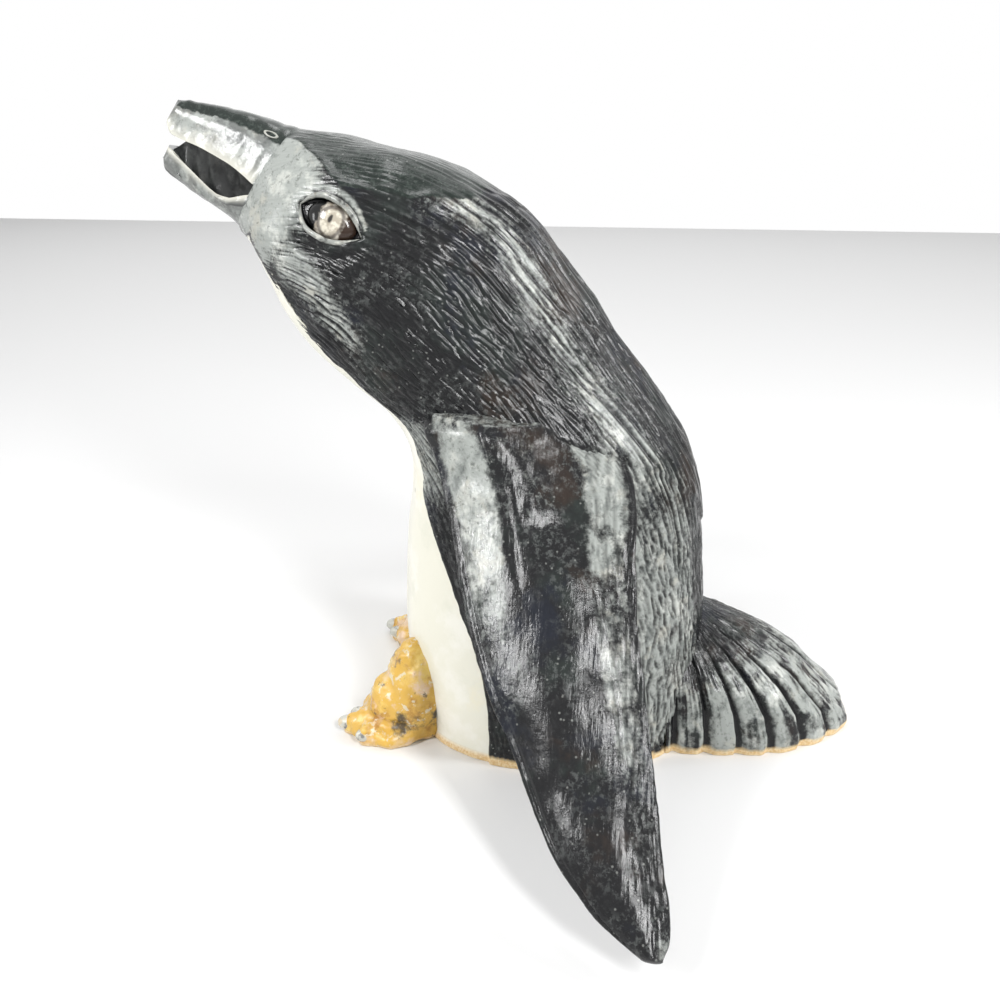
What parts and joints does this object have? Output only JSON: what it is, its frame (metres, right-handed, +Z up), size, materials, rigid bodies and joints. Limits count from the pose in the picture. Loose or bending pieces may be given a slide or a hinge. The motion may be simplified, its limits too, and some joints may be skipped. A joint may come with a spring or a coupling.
{
  "type": "penguin figurine",
  "caption": "Standing ceramic penguin with raised open bill, spread flippers, grooved tail fan and clawed feet; hollow, it rests on its open foot and the tail.",
  "frame": {"origin": "middle of the outline on the plane the figurine rests on", "axes": "+Z up, the bird faces -Y, +X is its left side; X = 0 is its plane of symmetry"},
  "size_m": [0.3506, 0.3028, 0.2659],
  "materials": {
    "black_glaze": "glossy near-black glaze over combed clay, with green-grey, navy and rust patches and fine specks",
    "white_glaze": "smooth glossy cream-white glaze",
    "grey_glaze": "smooth glossy grey glaze, darker in the creases",
    "eye_glaze": "glossy cream glaze with a dark pupil and dark corners",
    "lid_glaze": "glossy dark grey glaze worn thin on the ridge of the coil",
    "ochre_glaze": "glossy yellow-ochre glaze, mottled with brown and pink-beige",
    "claw_glaze": "pale grey glaze"
  },
  "bodies": {
    "root": {"body_shell": "black_glaze", "breast_panel": "white_glaze", "head_shell": "black_glaze", "upper_bill": "grey_glaze", "lower_bill": "grey_glaze", "left_eye": "eye_glaze", "right_eye": "eye_glaze", "left_upper_lid": "lid_glaze", "left_lower_lid": "lid_glaze", "right_upper_lid": "lid_glaze", "right_lower_lid": "lid_glaze", "left_flipper": "black_glaze", "right_flipper": "black_glaze", "tail_fan": "black_glaze", "left_foot": "ochre_glaze", "right_foot": "ochre_glaze", "left_claws": "claw_glaze", "right_claws": "claw_glaze"}
  },
  "joints": []
}
